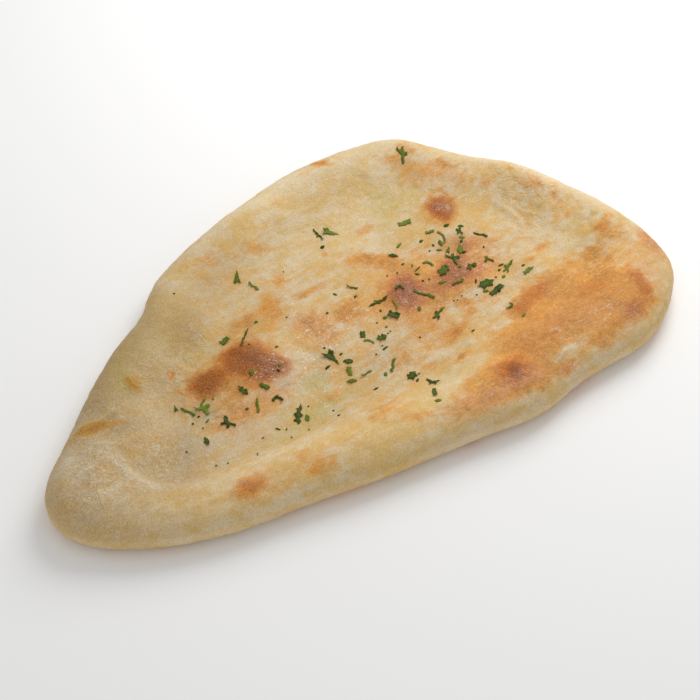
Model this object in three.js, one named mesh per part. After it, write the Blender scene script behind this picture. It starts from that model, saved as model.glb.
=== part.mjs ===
import * as THREE from "three";

// A naan bread: one flat leavened loaf with a teardrop outline, a thick soft rim and a dished
// middle, and the bits of chopped parsley that lie on it.
// Millimetres. +X runs from the narrow end to the broad end and +Z is up. The origin is on the
// surface that the bread lies on, under the middle of its outline.

// Driving dimensions of the bread
const breadLength = 281;
const breadWidth = 173;
const rimHeight = 15; // the crown of the rim above the table
const dishHeight = 9; // the middle of the bread above the table
const waistHeight = 6.5; // where the edge bulges furthest out
const edgeRound = 11; // inset over which the top crust curves down to the waist
const heelRound = 8; // inset over which the underside curves down to the table
const rimCrown = 15; // inset at which the rim starts to fall towards the dish
const dishStart = 34; // inset at which the dish floor starts

// Driving dimensions of the parsley
const flakeThickness = 0.4;
const flakeGap = 0.35; // air left between a flake and the crust, so that the solids stay apart

// How finely the bread is meshed
const stepsRound = 104; // points round the outline
const outlineSamples = 416; // points used to measure how far in a place lies
const edgeRings = 6; // rings of points over the curve of the top crust
const heelRings = 4; // rings of points under the curve of the underside
const bandInset = 22; // past this inset the rings are shares of the way to the heart
const dishShares = [0, 0.1, 0.2, 0.3, 0.4, 0.5, 0.6, 0.7, 0.8, 0.88, 0.95];
const footShares = [0.25, 0.55, 0.85];

const crustMaterial = new THREE.MeshStandardMaterial({ color: 0xd8bd8c, roughness: 0.7, metalness: 0 });
const parsleyMaterial = new THREE.MeshStandardMaterial({ color: 0x3c6428, roughness: 0.6, metalness: 0 });

// The teardrop seen from above, from the narrow end along the far side, round the broad end and back
const outlinePoints = [
  [-140, -16], [-135, -4], [-121, 8], [-98, 27], [-76, 42], [-58, 51], [-47.5, 61.5], [-24, 72.5],
  [8, 81.5], [45, 87], [77, 83.5], [96.5, 77], [106, 63.5], [115.5, 46.5], [129, 28], [136.5, 3],
  [142, -19], [142, -43], [136, -61.5], [117, -76.5], [97, -83.5], [66, -83], [38, -86], [8, -80],
  [-24, -74.5], [-62, -65.5], [-92, -58.5], [-118, -46], [-136, -30],
];
const heart = new THREE.Vector2(10, -4); // every straight line from here meets the outline once

// Broad swells and hollows of the crust: middle, reach along and across, turn in degrees, rise
const swells = [
  { x: -122, y: -14, along: 22, across: 17, turn: 40, rise: 2.4 }, // lump of dough at the narrow end
  { x: -93, y: -16, along: 9, across: 22, turn: 12, rise: -1.8 }, // valley behind that lump
  { x: -58, y: 34, along: 20, across: 10, turn: 35, rise: 1 }, // far shoulder
  { x: 24, y: 62, along: 42, across: 14, turn: 5, rise: 1.8 }, // broad far shelf
  { x: 62, y: 42, along: 15, across: 9, turn: 0, rise: -1.8 }, // hollow in front of the shelf
  { x: 104, y: -6, along: 12, across: 20, turn: 14, rise: -2.2 }, // hollow inside the broad end
  { x: 125, y: 8, along: 40, across: 11, turn: -68, rise: 1.5 }, // thick rim round the broad end
  { x: 78, y: -56, along: 42, across: 13, turn: 0, rise: 2 }, // toasted puff along the near side
  { x: -52, y: -52, along: 36, across: 9, turn: -12, rise: 1 }, // near rim towards the narrow end
  { x: -28, y: -31, along: 26, across: 8, turn: -4, rise: -1.2 }, // trough where butter pools
  { x: -46, y: 3, along: 19, across: 11, turn: 0, rise: 1.8 }, // large scorched blister
  { x: 48, y: -5, along: 22, across: 12, turn: 0, rise: 1.4 }, // puff in the middle
];

// Outlines of the chopped leaf on a length and a width of 1, before each is stretched to its own size
const flakeOutlines = {
  leaf: [
    [-0.5, -0.05], [-0.28, -0.42], [0.05, -0.5], [0.3, -0.28], [0.5, 0.08], [0.2, 0.3], [-0.05, 0.5],
    [-0.32, 0.25],
  ],
  strip: [
    [-0.5, -0.2], [-0.2, -0.45], [0.15, -0.3], [0.5, -0.5], [0.42, 0.1], [0.1, 0.3], [-0.15, 0.15],
    [-0.45, 0.5],
  ],
  chip: [
    [-0.5, -0.4], [-0.1, -0.5], [0.15, -0.3], [0.45, -0.5], [0.5, 0.3], [0.1, 0.5], [-0.1, 0.3],
    [-0.42, 0.5],
  ],
  dart: [
    [-0.5, -0.5], [-0.1, -0.3], [0.5, -0.05], [0.1, 0.14], [-0.12, 0.3], [-0.3, 0.5], [-0.5, 0.35],
    [-0.34, 0],
  ],
  fork: [
    [-0.5, -0.5], [-0.3, -0.5], [-0.05, -0.12], [0.5, -0.1], [0.48, 0.1], [0.05, 0.2], [0.05, 0.5],
    [-0.12, 0.48], [-0.18, 0.15], [-0.5, 0.2], [-0.46, 0], [-0.22, -0.1],
  ],
  lobe: [
    [-0.5, -0.12], [-0.3, -0.3], [-0.18, -0.5], [0.02, -0.26], [0.2, -0.42], [0.28, -0.14], [0.5, 0],
    [0.26, 0.14], [0.2, 0.5], [-0.04, 0.26], [-0.28, 0.42], [-0.34, 0.1],
  ],
  hook: [
    [-0.5, 0.3], [-0.3, -0.2], [0, -0.5], [0.3, -0.35], [0.5, 0.2], [0.4, 0.5], [0.22, 0.05],
    [0, -0.1], [-0.2, 0.1], [-0.36, 0.5],
  ],
  frond: [
    [-0.5, -0.1], [-0.36, -0.4], [-0.2, -0.18], [-0.05, -0.5], [0.08, -0.2], [0.3, -0.34], [0.5, -0.1],
    [0.3, 0.05], [0.28, 0.3], [0.1, 0.12], [-0.02, 0.5], [-0.16, 0.2], [-0.34, 0.42], [-0.36, 0.1],
  ],
  stem: [
    [-0.5, -0.4], [0, -0.1], [0.5, -0.2], [0.5, 0.3], [0.06, 0.25], [-0.08, 0.5], [-0.16, 0.2],
    [-0.5, 0.1],
  ],
};

// Where the larger flakes fell: outline, x, y, length, width, turn in degrees
const flakes = [
  // towards the narrow end
  ["dart", -75.3, 0, 3.2, 1.8, 80], ["strip", -72.5, -4.5, 7, 1.5, 115],
  ["fork", -67, -7.2, 6, 5.5, -90], ["fork", -63.6, -18, 6.5, 5, 70], ["leaf", -75, -20.5, 4.2, 1.8, 75],
  // round the large scorched blister
  ["lobe", -50, -8.8, 5.5, 2.8, 95], ["leaf", -42.3, -4, 3.6, 1.8, 40], ["chip", -42, -12.2, 4.2, 2.2, 110],
  ["strip", -49.8, -18.2, 7, 1.3, 62], ["hook", -41.5, -20, 4.5, 3, 145],
  ["frond", -39.6, -30.8, 10.5, 3.4, 48], ["leaf", -38, -34.4, 3.8, 1.8, 65],
  ["chip", -40.3, 17.4, 4.2, 2.8, 15], ["stem", -33, 14, 11.5, 1.2, 41],
  // along the trough of butter
  ["dart", -11.6, -16, 8.5, 4.6, -85], ["leaf", -8, -21.2, 4.2, 2.6, 140],
  ["chip", -10.7, -25.6, 4.4, 2, 65], ["leaf", -13, -30, 4.4, 1.5, 150], ["strip", -6, -30.4, 5, 1.1, 5],
  ["strip", 4.8, -33.4, 7.5, 1.6, 48], ["chip", 5.7, -13.1, 3.4, 2.4, 60], ["hook", 5.6, -17.6, 4.6, 1.5, 125],
  ["lobe", 10.6, -19.2, 5, 3.4, 165], ["lobe", 6.8, -42.8, 5.5, 4.2, 190], ["fork", 10.3, -50.8, 5.5, 3.6, 100],
  ["chip", 5.8, -57.6, 5.6, 2, 58],
  // round the second scorched patch
  ["frond", 22, -3, 10, 1.9, 173], ["strip", 26.5, -8.2, 6, 1.1, 75], ["chip", 22.5, -12.4, 5.2, 3.2, 120],
  ["hook", 33.8, -2.3, 3.8, 2.8, 140], ["strip", 39.5, -11, 9.5, 1.8, 123], ["fork", 37.8, -22.6, 8, 3.4, 20],
  ["strip", 19.2, 11, 5, 1.2, 130], ["leaf", 44.8, 15.6, 4.6, 2, 130],
  // round the third scorched patch
  ["lobe", 54.8, -5.7, 8, 4.5, 15], ["hook", 53, 2, 5.5, 2, 115], ["frond", 55, -14.2, 7, 1.8, 178],
  ["fork", 63, -2.4, 6.5, 5.4, -110], ["dart", 65.4, 3.7, 5, 1.8, 42], ["leaf", 69.3, 0.8, 6, 2.4, 52],
  ["leaf", 65.6, 9.3, 4.4, 1.5, 70], ["hook", 69, 11.8, 8.5, 1.8, 75], ["chip", 66.8, 17.4, 4.2, 1.8, 170],
  ["fork", 66, -10, 5.5, 3, 10],
  // towards the broad end
  ["fork", 78, 11, 6.5, 3.4, 40], ["strip", 82.9, 3.2, 6.5, 1.7, 125], ["hook", 74.6, -11.7, 4.2, 2.2, 155],
  ["lobe", 64, -21.6, 8, 5, 165], ["chip", 65.2, -27, 8, 2.6, 10], ["fork", 78.7, -19.3, 7.5, 3, 20],
  ["frond", 83.5, -26.4, 6.2, 2.4, 10], ["hook", 63, -37.8, 4.2, 2.4, 25],
  // alone on the far side
  ["dart", -15.8, 44.2, 6.5, 3, 62], ["strip", -12.7, 36.5, 6, 1.4, 105], ["strip", 27.8, 45.8, 8, 1.1, 88],
  ["dart", 32.9, 43.4, 7.5, 4.2, -50], ["chip", 62.2, 28.7, 6.2, 3, 165], ["fork", 86.6, 60.4, 10, 4.4, 236],
];

// The outline as a closed smooth curve, stretched to the bread's exact length and width
function makeOutlineCurve() {
  const rough = new THREE.CatmullRomCurve3(
    outlinePoints.map(([x, y]) => new THREE.Vector3(x, y, 0)), true, "centripetal",
  );
  const box = new THREE.Box3().setFromPoints(rough.getSpacedPoints(outlineSamples));
  const middle = box.getCenter(new THREE.Vector3());
  const size = box.getSize(new THREE.Vector3());
  for (const point of rough.points) {
    point.sub(middle);
    point.x *= breadLength / size.x;
    point.y *= breadWidth / size.y;
  }
  rough.updateArcLengths();
  return rough;
}

const outlineCurve = makeOutlineCurve();
const outlineFine = outlineCurve.getSpacedPoints(outlineSamples);

// How far in from the outline a place lies
function insetAt(x, y) {
  return Math.min(...outlineFine.map((p) => Math.hypot(p.x - x, p.y - y)));
}

// A quarter of an ellipse: 0 with a steep start at the outline, 1 and level once `reach` is passed
function quarterRound(inset, reach) {
  const left = 1 - Math.min(inset / reach, 1);
  return Math.sqrt(1 - left * left);
}

// Rise that one swell or hollow gives at a place
function swellRise(swell, x, y) {
  const turn = THREE.MathUtils.degToRad(swell.turn);
  const dx = x - swell.x;
  const dy = y - swell.y;
  const u = (dx * Math.cos(turn) + dy * Math.sin(turn)) / swell.along;
  const v = (dy * Math.cos(turn) - dx * Math.sin(turn)) / swell.across;
  return swell.rise * Math.exp(-u * u - v * v);
}

// Height of the top crust above the table
function crustHeight(x, y, inset = insetAt(x, y)) {
  const fall = THREE.MathUtils.smoothstep(inset, rimCrown, dishStart);
  const level = THREE.MathUtils.lerp(rimHeight, dishHeight, fall);
  const swelling = swells.reduce((sum, swell) => sum + swellRise(swell, x, y), 0);
  return waistHeight + (level + swelling - waistHeight) * quarterRound(inset, edgeRound);
}

// Height of the underside above the table: flat but for its rounded heel
function undersideHeight(inset) {
  return waistHeight * (1 - quarterRound(inset, heelRound));
}

// One ring of points round the bread, each moved in from the outline towards the heart
function ringOf(insetFrom, heightAt) {
  return outlineCurve.getSpacedPoints(stepsRound).slice(0, stepsRound).map((edge) => {
    const inwards = heart.clone().sub(edge);
    const reach = inwards.length();
    const place = inwards.setLength(insetFrom(reach));
    const x = edge.x + place.x;
    const y = edge.y + place.y;
    return new THREE.Vector3(x, y, heightAt(x, y));
  });
}

// Insets that are close together where a quarter round is steep
function roundInsets(count, reach) {
  return Array.from({ length: count }, (_, i) => reach * (1 - Math.cos((Math.PI / 2) * ((i + 1) / count))));
}

// The loaf as one closed surface: rings from the middle of the top, over the edge, to the middle underneath
function makeBreadGeometry() {
  const underside = (x, y) => undersideHeight(insetAt(x, y));
  const past = (share) => (reach) => bandInset + (reach - bandInset) * share;
  const fixed = (inset) => () => inset;
  const rings = [
    ...dishShares.toReversed().map((share) => ringOf(past(share), crustHeight)),
    ...roundInsets(edgeRings, edgeRound + 3).toReversed().map((inset) => ringOf(fixed(inset), crustHeight)),
    ringOf(fixed(0), () => waistHeight),
    ...roundInsets(heelRings, heelRound + 2).map((inset) => ringOf(fixed(inset), underside)),
    ...footShares.map((share) => ringOf(past(share), underside)),
  ];
  const points = [
    new THREE.Vector3(heart.x, heart.y, crustHeight(heart.x, heart.y)),
    ...rings.flat(),
    new THREE.Vector3(heart.x, heart.y, 0),
  ];
  const topMiddle = 0;
  const bottomMiddle = points.length - 1;
  const at = (ring, i) => 1 + ring * stepsRound + (i % stepsRound);
  const last = rings.length - 1;
  const triangles = [];
  for (let i = 0; i < stepsRound; i++) {
    triangles.push(topMiddle, at(0, i + 1), at(0, i));
    for (let ring = 0; ring < last; ring++) {
      triangles.push(at(ring, i), at(ring, i + 1), at(ring + 1, i + 1));
      triangles.push(at(ring, i), at(ring + 1, i + 1), at(ring + 1, i));
    }
    triangles.push(bottomMiddle, at(last, i), at(last, i + 1));
  }
  return new THREE.BufferGeometry().setFromPoints(points).setIndex(triangles);
}

// Upward normal of the crust at a place, from its slope over a short step
function crustNormal(x, y) {
  const step = 1.5;
  const slopeX = (crustHeight(x + step, y) - crustHeight(x - step, y)) / (2 * step);
  const slopeY = (crustHeight(x, y + step) - crustHeight(x, y - step)) / (2 * step);
  return new THREE.Vector3(-slopeX, -slopeY, 1).normalize();
}

// One flat flake of parsley, tilted to lie along the crust and lifted just clear of it
function makeFlake([outline, x, y, length, width, turn], name) {
  const corners = flakeOutlines[outline].map(([u, v]) => new THREE.Vector2(u * length, v * width));
  const geometry = new THREE.ExtrudeGeometry(new THREE.Shape(corners), {
    depth: flakeThickness,
    bevelEnabled: false,
  });
  const flake = new THREE.Mesh(geometry, parsleyMaterial);
  flake.name = name;
  flake.quaternion
    .setFromUnitVectors(new THREE.Vector3(0, 0, 1), crustNormal(x, y))
    .multiply(new THREE.Quaternion().setFromAxisAngle(new THREE.Vector3(0, 0, 1), THREE.MathUtils.degToRad(turn)));
  flake.position.set(x, y, crustHeight(x, y));
  flake.updateMatrix();
  const lowest = corners.map((corner) => {
    const p = new THREE.Vector3(corner.x, corner.y, 0).applyMatrix4(flake.matrix);
    return p.z - crustHeight(p.x, p.y);
  });
  flake.position.z += flakeGap - Math.min(0, ...lowest);
  return flake;
}

const naan = new THREE.Group();

const bread = new THREE.Mesh(makeBreadGeometry(), crustMaterial);
bread.name = "naan_bread";
naan.add(bread);

flakes.forEach((flake, i) => {
  const number = String(i + 1).padStart(2, "0");
  naan.add(makeFlake(flake, `parsley_${flake[0]}_${number}`));
});

export default naan;
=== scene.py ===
import math
import random

import bmesh
import bpy
import numpy as np
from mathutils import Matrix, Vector, geometry, noise


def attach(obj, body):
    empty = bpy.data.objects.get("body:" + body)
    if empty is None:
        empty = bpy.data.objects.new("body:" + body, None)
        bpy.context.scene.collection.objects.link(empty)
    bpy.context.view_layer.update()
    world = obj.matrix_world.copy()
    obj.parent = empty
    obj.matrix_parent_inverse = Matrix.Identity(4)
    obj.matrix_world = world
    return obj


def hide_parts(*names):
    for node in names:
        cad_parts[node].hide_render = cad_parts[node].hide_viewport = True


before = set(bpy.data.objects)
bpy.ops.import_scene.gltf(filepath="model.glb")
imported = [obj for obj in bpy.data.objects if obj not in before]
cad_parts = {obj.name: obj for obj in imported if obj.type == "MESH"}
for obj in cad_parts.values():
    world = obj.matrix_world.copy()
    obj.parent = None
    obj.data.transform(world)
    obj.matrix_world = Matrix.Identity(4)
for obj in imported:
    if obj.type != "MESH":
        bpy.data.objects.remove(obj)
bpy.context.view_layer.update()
mm = 0.001
print("frame loaded")


class Wire:  # a node's output, which can stand in a sum
    def __init__(self, bench, socket):
        self.bench = bench
        self.socket = socket

    def join(self, operation, first, second):
        return self.bench.node("ShaderNodeMath", {"operation": operation}, {0: first, 1: second})

    def __add__(self, other):
        return self.join("ADD", self, other)

    def __radd__(self, other):
        return self.join("ADD", other, self)

    def __sub__(self, other):
        return self.join("SUBTRACT", self, other)

    def __rsub__(self, other):
        return self.join("SUBTRACT", other, self)

    def __mul__(self, other):
        return self.join("MULTIPLY", self, other)

    def __rmul__(self, other):
        return self.join("MULTIPLY", other, self)

    def __truediv__(self, other):
        return self.join("DIVIDE", self, other)

    def __rtruediv__(self, other):
        return self.join("DIVIDE", other, self)


class Bench:  # the node tree of a material or of a geometry recipe
    def __init__(self, tree):
        self.tree = tree

    def node(self, kind, settings=None, inputs=None, output=0):
        made = self.tree.nodes.new(kind)
        for name, value in (settings or {}).items():
            setattr(made, name, value)
        for name, value in (inputs or {}).items():
            if isinstance(value, Wire):
                self.tree.links.new(value.socket, made.inputs[name])
            else:
                made.inputs[name].default_value = value
        return Wire(self, made.outputs[output])

    def ramp(self, value, low, high):  # 0 below low and 1 above high, smooth in between
        settings = {"interpolation_type": "SMOOTHSTEP"}
        return self.node("ShaderNodeMapRange", settings, {"Value": value, "From Min": low, "From Max": high})

    def blend(self, share, first, second):  # two colours, the second by its share
        return self.node("ShaderNodeMix", {"data_type": "RGBA"}, {0: share, 6: first, 7: second}, 2)

    def grain(self, place, size, detail=3.0, rough=0.55, seed=0.0, twist=0.0):  # noise in lumps
        inputs = {"Vector": place, "W": seed, "Scale": 1 / size, "Detail": detail}
        inputs.update({"Roughness": rough, "Distortion": twist})
        return self.node("ShaderNodeTexNoise", {"noise_dimensions": "4D"}, inputs)

    def ridges(self, place, size, seed, wide=0.09):  # 0 on a net of wandering lines and 1 away from them
        lumps = self.grain(place, size, 2.0, 0.5, seed, 0.8)
        return self.ramp(self.node("ShaderNodeMath", {"operation": "ABSOLUTE"}, {0: lumps - 0.5}), 0.0, wide)

    def scale(self, vector, share):  # a direction made longer, or a colour made lighter
        return self.node("ShaderNodeVectorMath", {"operation": "SCALE"}, {0: vector, "Scale": share})

    def stretch(self, place, shares):
        return self.node("ShaderNodeVectorMath", {"operation": "MULTIPLY"}, {0: place, 1: shares})

    def split(self, place):  # its x, y and z
        parts = self.node("ShaderNodeSeparateXYZ", None, {0: place}).socket.node.outputs
        return [Wire(self, part) for part in parts]

    def combine(self, x, y, z):
        return self.node("ShaderNodeCombineXYZ", None, {0: x, 1: y, 2: z})

    def painted(self, name):  # a field stored on the mesh, as a material reads it
        return self.node("ShaderNodeAttribute", {"attribute_name": name}, None, "Fac")

    def stored(self, name):  # the same field as a geometry recipe reads it
        return self.node("GeometryNodeInputNamedAttribute", {"data_type": "FLOAT"}, {"Name": name})


def paint(red, green, blue):  # a colour as a screen shows it, 0 to 255, made linear
    def linear(part):
        part = part / 255
        return part / 12.92 if part <= 0.04045 else ((part + 0.055) / 1.055) ** 2.4

    return (linear(red), linear(green), linear(blue), 1.0)


def smooth(value, low, high):  # 0 below low and 1 above high, for numbers
    share = np.clip((value - low) / (high - low), 0, 1)
    return share * share * (3 - 2 * share)


def newObject(name, mesh):
    made = bpy.data.objects.new(name, mesh)
    bpy.context.scene.collection.objects.link(made)
    return made


def bakeShape(rough, name):  # the plain mesh that an object's modifiers give, as an object of its own
    bpy.context.view_layer.update()
    graph = bpy.context.evaluated_depsgraph_get()
    evaluated = rough.evaluated_get(graph)
    mesh = bpy.data.meshes.new_from_object(evaluated, preserve_all_data_layers=True, depsgraph=graph)
    mesh.name = name
    rough.name = name + "Rough"
    bpy.data.objects.remove(rough)
    return newObject(name, mesh)


def readValues(items, name, kind=np.int32, width=1):  # one value for each item, or a row of them
    found = np.empty(len(items) * width, kind)
    items.foreach_get(name, found)
    return found.reshape(-1, width) if width > 1 else found


def storeField(mesh, name, values):
    mesh.attributes.new(name, "FLOAT", "POINT").data.foreach_set("value", np.asarray(values, np.float32))


def wobble(places, size, reach, seed):  # a smooth sideways wander for each place, in mm
    noise.seed_set(seed)  # unset, it comes from the clock
    drift = [noise.noise_vector(Vector(place) / size) for place in places]
    return np.array(drift)[:, :2] * reach


loaf = {
    "voxel": 1.0,  # spacing of the surface's points, mm
    "rounding": 2,  # times the solid's facets are divided
    "easing": (0.5, 6),  # strength and rounds of the smoothing after that
    "undulation": (0.7, 26.0),  # height and size of the broad unevenness, mm
    "ripple": (0.28, 7.0),  # the same for the ripples and for the finest puckers
    "pucker": (0.1, 2.4),
    "wrinkle": (0.16, 13.0),  # depth and spacing of the skin's fine creases
    "puff": 0.28,  # how far the skin stands out at the sides, mm
    "pit": (0.5, 9.0),  # depth and size of the dimples underneath
    "seed": 3.0,
    "wander": {  # size and reach of how the marks stray from their ovals and lines, mm
        "broad": (11, 1.7), "fine": (3.2, 1.3), "finest": (1.6, 0.6), "line": (8, 1.4),
    },
    "paintedSideLight": 0.7,  # painted light: how much lighter the low side is painted
    "sideTanAndShade": 0.15,  # and how much browner the whole side is, partly painted shade
    "grains": {  # sizes of the patterns that the colours follow, mm
        "dust": 0.5, "speck": 1.1, "frost": 2.2, "dash": 3.2, "blotch": 5, "mottle": 21, "streak": 5,
        "thread": 1.5, "skin": 16, "crease": 5, "fineCrease": 2.6, "crinkle": 3.6, "stroke": 1.9,
        "lightStroke": 1.7, "ovenMark": 19, "ovenFleck": 6,
    },
    "relief": 0.6,  # depth of the fine pattern on the skin, mm
    "roughness": 0.66,
    "shine": 0.3,  # how much smoother the buttered skin is
    "cream": paint(212, 192, 156),
    "straw": paint(207, 174, 110),
    "toasted": paint(220, 152, 60),
    "roasted": paint(198, 122, 44),
    "browned": paint(180, 95, 10),
    "scorched": paint(140, 64, 4),
    "charred": paint(116, 50, 6),
    # pinkish flecks, partly painted sheen
    "rosySheen": paint(220, 166, 136),
    # butter's colour, also used for painted shade
    "buttered": paint(184, 166, 86),
    # flour's colour, also used for painted highlights
    "flouryAndHighlight": paint(218, 204, 176),
    # tan dough, also used for painted shade
    "tan": paint(166, 136, 90),
    "warm": paint(216, 164, 88),
    # greyish floury dough, also used for painted shade
    "dustyAndShaded": paint(184, 168, 140),
    "earthy": paint(184, 151, 94),
    "honey": paint(192, 142, 60),
    # the colour of the painted highlights
    "paintedHighlight": paint(242, 232, 210),
    # the colour of the painted shade in creases
    "grooveShade": paint(140, 100, 54),
}

# Marks on the crust as soft ovals, in mm: x, y, reach along, reach across, turn in degrees, strength.
# A strength below 0 takes away from the marks round it.
toastSpots = [  # golden brown
    # the near side
    (92, -43, 34, 10, -2, 0.85), (84, -55, 36, 10, 0, 0.8), (54, -50, 14, 12, 30, 0.55),
    (52, -65, 26, 12, 6, 0.9), (31, -68, 20, 9, -6, 0.75), (102, -66, 14, 13, -30, 0.9),
    (12, -72, 20, 6, -10, 0.55), (40, -77, 15, 5, 0, 0.8), (56, -79, 6, 3, 4, 0.7),
    (88, -71, 10, 5, 10, 0.35), (57, -43, 5, 4, 0, -0.4), (97, -73, 12, 5, 12, 0.8),
    (80, -78, 10, 4, 10, 0.35), (74, -39, 14, 6, 14, 0.5), (118, -44, 16, 15, 0, 0.15),
    (113, -48, 9, 6, 0, -0.35), (77, -71, 13, 6, 6, 0.7), (84, -63, 17, 7, 0, 0.6),
    (57, -75, 7, 3, 0, -0.4), (30, -38, 5, 2, 20, 0.4), (29, -47.5, 6, 2.4, 20, 0.75),
    (15.5, -42.5, 6, 2.6, 5, 0.7), (134, -49, 10, 6, 65, 0.8), (76, -78, 8, 3, 0, 0.4),
    (-12, -54, 11, 9, -20, 0.6), (-7, -65, 5, 2, -25, 0.5),
    # the middle
    (60, -29, 6, 4, 0, 0.45), (48, -23, 5, 4, 0, 0.3), (70, 6, 6, 6, 0, 0.3), (50, -8, 8, 4, 0, 0.25),
    (6, 20, 7, 3, 0, 0.3), (85, -3, 4, 4, 0, 0.35), (10, -36, 6, 4, 0, 0.3), (2, 21, 11, 3.4, 0, 0.5),
    (-14, 14, 5, 6, 0, 0.3), (24, -27, 12, 7, 10, 0.5), (8, -34, 12, 6, 0, 0.35), (62, -25, 6, 5, 0, 0.35),
    (50, -29, 7, 5, 0, 0.3), (82, 0, 5, 5, 0, 0.3), (8, -1, 7, 7, 0, 1.0), (16, 3, 5, 3, 20, 0.4),
    (-7, 3, 7.5, 9, 0, 0.82), (-7, -8, 5, 4, 0, 0.4), (-15, 21, 11, 4, 54, 0.9), (-3, 28, 7, 4, 30, 0.35),
    (37, 17, 11, 4.6, -48, 1.0), (30, 25, 5, 3, 0, 0.4), (34, -5, 16, 11, 60, 0.9),
    (55, -7, 17, 9, -10, 0.9), (46, -14, 14, 6, -12, 0.7), (66, -16, 10, 4.4, -8, 0.65),
    (74, 1, 9, 7, 20, 0.8), (70, -12, 10, 6, 0, 0.5), (26, -17, 9, 4, 10, 0.45), (20, -6, 8, 5, 0, 0.35),
    (32, -24, 10, 6, 20, 0.4), (37, -34, 8.5, 4, 12, 1.05), (24, -36, 7, 3, 20, 0.4),
    (50, -24.6, 4, 2.2, 10, 0.75), (49, -30, 2.4, 2, 0, 0.6), (44, -20, 8, 3, 10, 0.4),
    (88, -21.4, 3, 1.8, 0, 0.75), (91, -20.6, 2, 1.4, 0, 0.7), (30, 10, 30, 20, 0, 0.2),
    (78, -12, 20, 10, 0, 0.25), (60, 9, 14, 8, 0, 0.4), (79.4, 26, 11, 8.2, 52, 1.15),
    # the broad end
    (96, 38, 4, 10, 0, 0.2), (126, -36, 5, 3, 0, 0.4), (125, -15, 3, 4, 0, 0.35),
    (100, -34, 16, 3.6, 0, 0.35), (98, -18, 4.6, 2.6, 0, 0.75), (123, -29, 5, 4.6, 0, 0.85),
    (130, -17, 5, 6, 0, 0.2), (113, -35, 6, 4, 0, 0.4), (112, 33, 4, 6, 20, 0.35), (121, 12, 3, 5, 0, 0.45),
    (118, -12, 4, 6, 10, 0.4), (106, 24, 6, 4, 0, 0.3), (117.4, 23.6, 2, 3, 20, 0.85),
    (115, 13, 4, 5, 0, 0.5), (121, -3, 2.6, 5, 10, 0.6), (129, -26, 4, 2, -30, 0.6), (125, 5, 6, 9, 0, 0.3),
    (100, -4, 14, 18, 0, 0.15), (98, 75, 7, 5, -40, 0.5), (99, 38, 9, 9, 0, 0.45), (118, 8, 4, 4, 0, 0.3),
    (105, 22, 5, 5, 0, 0.3),
    # the far side
    (46, 36, 5, 4, 0, 0.4), (82, 60, 5, 5, 0, 0.4), (3, 52, 5, 4, 0, 0.35), (46, 75, 12, 3, 0, 0.35),
    (-2, 34, 3, 3.4, 0, 0.75), (24, 35, 2.4, 2.2, 0, 0.7), (47, 36, 7, 4, 0, 0.4), (-4, 53, 7, 5, 0, 0.3),
    (20, 67, 7, 4, 0, 0.35), (5, 40, 8, 5, 30, 0.1), (54, 79, 4, 5, 20, 0.9), (60, 86, 5, 3, 0, 0.8),
    (91, 64, 6, 6, 0, 0.7), (72, 70, 10, 5, 0, 0.25), (84, 50, 7, 6, 0, 0.65), (94, 47, 6, 5, 0, 0.5),
    (84, 60, 8, 6, 0, 0.25), (75, 63, 5, 5, 0, 0.3), (88, 42, 5, 6, 0, 0.3), (0, 52, 8, 5, 0, 0.2),
    (-20, 55, 8, 6, 0, 0.3),
    # the narrow end
    (-22, 56, 5, 5, 0, 0.4), (-26, 22, 9, 4.4, 20, 0.65), (-63, -20, 12, 7, 0, 0.35),
    (-38, 8, 8, 5, 0, 0.25), (-50, 28, 5, 5, 0, 0.25), (-48, -60, 8, 4, 0, 0.25),
    (-75, -60, 14, 3, -8, 0.25), (-24, -31.6, 5, 3, 0, 0.7), (-36, -50, 14, 8, 0, 0.22),
    (-77, -51.6, 7, 5, 0, 1.15), (-54, -51, 4, 3.4, 0, 0.4), (-52.6, -60, 4, 3, 0, 0.35),
    (-60, -56, 20, 7, -8, 0.35), (-60, -13, 10, 8, 0, 0.5), (-47, -19, 9, 7, 0, 0.5),
    (-68, 14.6, 2.4, 2.4, 0, 0.95), (-56, -31, 10, 4, 0, 0.25), (-48, 45, 4, 4, 0, 0.35),
    (-27, 46, 4, 4, 0, 0.35), (-58, 2.6, 12, 9, -5, 0.9), (-38, 1, 14, 16.5, -20, 0.95),
]
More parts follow.
